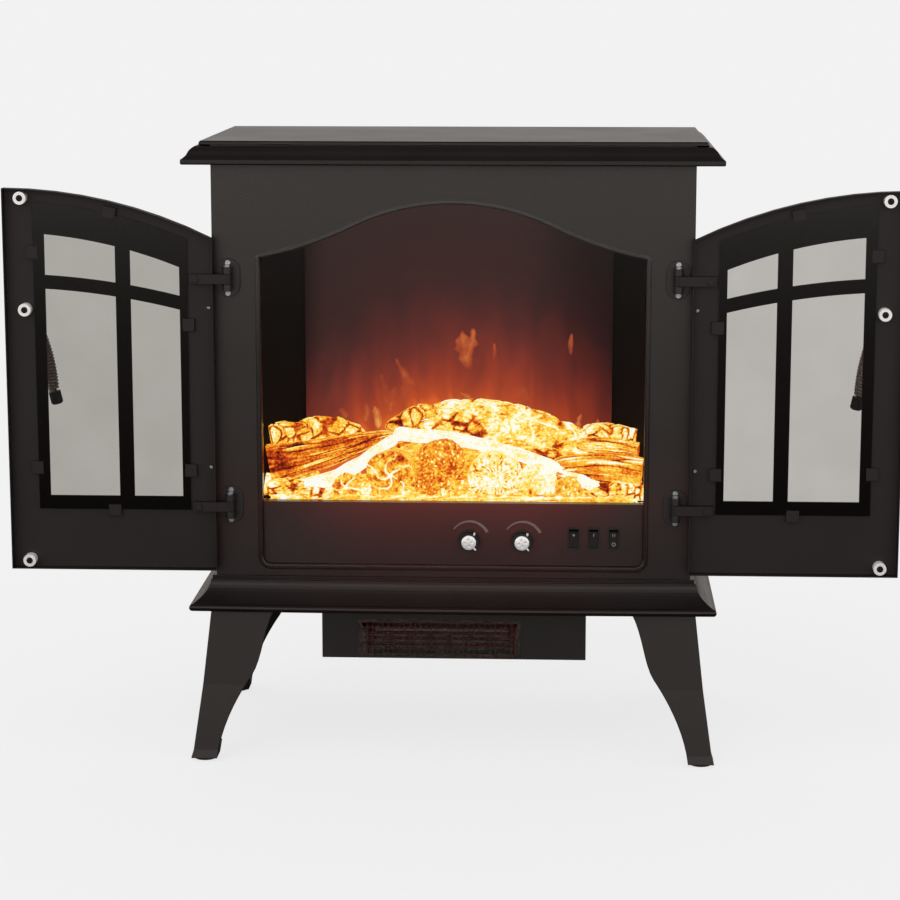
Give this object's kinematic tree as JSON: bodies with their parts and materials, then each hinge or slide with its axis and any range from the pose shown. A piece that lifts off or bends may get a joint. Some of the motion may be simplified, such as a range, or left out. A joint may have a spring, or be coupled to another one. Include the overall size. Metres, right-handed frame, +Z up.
{
  "type": "electric fireplace",
  "caption": "Free-standing electric stove heater with two hinged glazed doors, a glowing log set, control knobs and switches, and a fan heater outlet under the base.",
  "frame": {"origin": "on the floor, midway across the width with the doors open, and midway between the front and the back", "axes": "+X to the right seen from the front, +Y towards the back, +Z up"},
  "size_m": [0.906, 0.294, 0.64],
  "materials": {
    "black_coat": "satin powder-coated sheet steel",
    "liner_coat": "matt high-temperature paint",
    "foot_rubber": "moulded, matt",
    "zinc_steel": "zinc-plated",
    "window_glass": "clear toughened",
    "door_glass": "lightly tinted toughened",
    "smoked_screen": "smoked, half-silvered",
    "dial_print": "screen-printed ink",
    "black_plastic": "moulded, fine satin",
    "log_resin": "translucent moulded resin, lit from below",
    "ember_resin": "translucent moulded resin, lit from below",
    "circuit_board": "white solder mask",
    "motor_case": "satin",
    "bush_brass": "turned",
    "grille_steel": "dark coated wire",
    "element_steel": "heat-tinted tube",
    "bright_chrome": "bright plated",
    "foil_aluminium": "bright foil",
    "fan_aluminium": "rolled sheet",
    "handle_steel": "black-oxide wire",
    "spring_steel": "wound spring wire, heat-browned"
  },
  "bodies": {
    "case": {"top_cap": "black_coat", "front_panel": "black_coat", "side_panel_left": "black_coat", "side_panel_right": "black_coat", "back_panel": "black_coat", "base_plinth": "black_coat", "leg_front_left": "black_coat", "leg_front_right": "black_coat", "leg_rear_left": "black_coat", "leg_rear_right": "black_coat", "foot_pads": "foot_rubber", "leg_bolts": "zinc_steel", "window_bead": "black_coat", "front_glass": "window_glass", "control_panel": "black_coat", "dial_marks": "dial_print", "switch_housings": "black_plastic", "thermostat": "black_plastic", "dimmer": "black_plastic", "firebox": "liner_coat", "flame_screen": "smoked_screen", "log_set": "log_resin", "ember_bed": "ember_resin", "light_tray": "zinc_steel", "light_board": "circuit_board", "flame_motor": "motor_case", "shaft_bushes": "bush_brass", "heater_housing": "black_coat", "heater_grille": "grille_steel", "heating_element": "element_steel", "fan_motor": "motor_case", "cable_gland": "black_plastic", "hinge_brackets": "black_coat", "hinge_pins": "zinc_steel", "case_screws": "zinc_steel"},
    "left_door": {"left_door_panel": "black_coat", "left_door_glass": "door_glass", "left_glass_clips": "black_coat", "left_door_magnets": "bright_chrome", "left_hinge_arms": "black_coat", "left_handle_rod": "handle_steel", "left_handle_spring": "spring_steel", "left_handle_cap": "black_plastic"},
    "right_door": {"right_door_panel": "black_coat", "right_door_glass": "door_glass", "right_glass_clips": "black_coat", "right_door_magnets": "bright_chrome", "right_hinge_arms": "black_coat", "right_handle_rod": "handle_steel", "right_handle_spring": "spring_steel", "right_handle_cap": "black_plastic"},
    "thermostat_dial": {"thermostat_knob": "black_plastic", "thermostat_knob_cap": "bright_chrome"},
    "flame_dial": {"flame_knob": "black_plastic", "flame_knob_cap": "bright_chrome"},
    "power_switch": {"power_rocker": "black_plastic"},
    "low_heat_switch": {"low_heat_rocker": "black_plastic"},
    "high_heat_switch": {"high_heat_rocker": "black_plastic"},
    "flame_spinner": {"flame_rotor": "foil_aluminium"},
    "fan": {"fan_wheel": "fan_aluminium"}
  },
  "joints": [
    {"name": "left_door_hinge", "type": "hinge", "parent": "case", "child": "left_door", "pos_m": [-0.2275, -0.135, 0.385], "axis": [0, 0, 1], "range_deg": [0, 180]},
    {"name": "right_door_hinge", "type": "hinge", "parent": "case", "child": "right_door", "pos_m": [0.2275, -0.135, 0.385], "axis": [0, 0, -1], "range_deg": [0, 180]},
    {"name": "thermostat_turn", "type": "hinge", "parent": "case", "child": "thermostat_dial", "pos_m": [0.017, -0.123, 0.231], "axis": [0, 1, 0], "range_deg": [-167, 103]},
    {"name": "flame_dial_turn", "type": "hinge", "parent": "case", "child": "flame_dial", "pos_m": [0.0715, -0.123, 0.231], "axis": [0, 1, 0], "range_deg": [-167, 103]},
    {"name": "power_rock", "type": "hinge", "parent": "case", "child": "power_switch", "pos_m": [0.1245, -0.112, 0.234], "axis": [1, 0, 0], "range_deg": [-14, 0]},
    {"name": "low_heat_rock", "type": "hinge", "parent": "case", "child": "low_heat_switch", "pos_m": [0.145, -0.112, 0.234], "axis": [1, 0, 0], "range_deg": [-14, 0]},
    {"name": "high_heat_rock", "type": "hinge", "parent": "case", "child": "high_heat_switch", "pos_m": [0.1655, -0.112, 0.234], "axis": [1, 0, 0], "range_deg": [-14, 0]},
    {"name": "flame_spin", "type": "hinge", "parent": "case", "child": "flame_spinner", "pos_m": [0, 0.062, 0.297], "axis": [1, 0, 0], "continuous": true},
    {"name": "fan_spin", "type": "hinge", "parent": "case", "child": "fan", "pos_m": [-0.015, -0.02, 0.125], "axis": [1, 0, 0], "continuous": true}
  ]
}
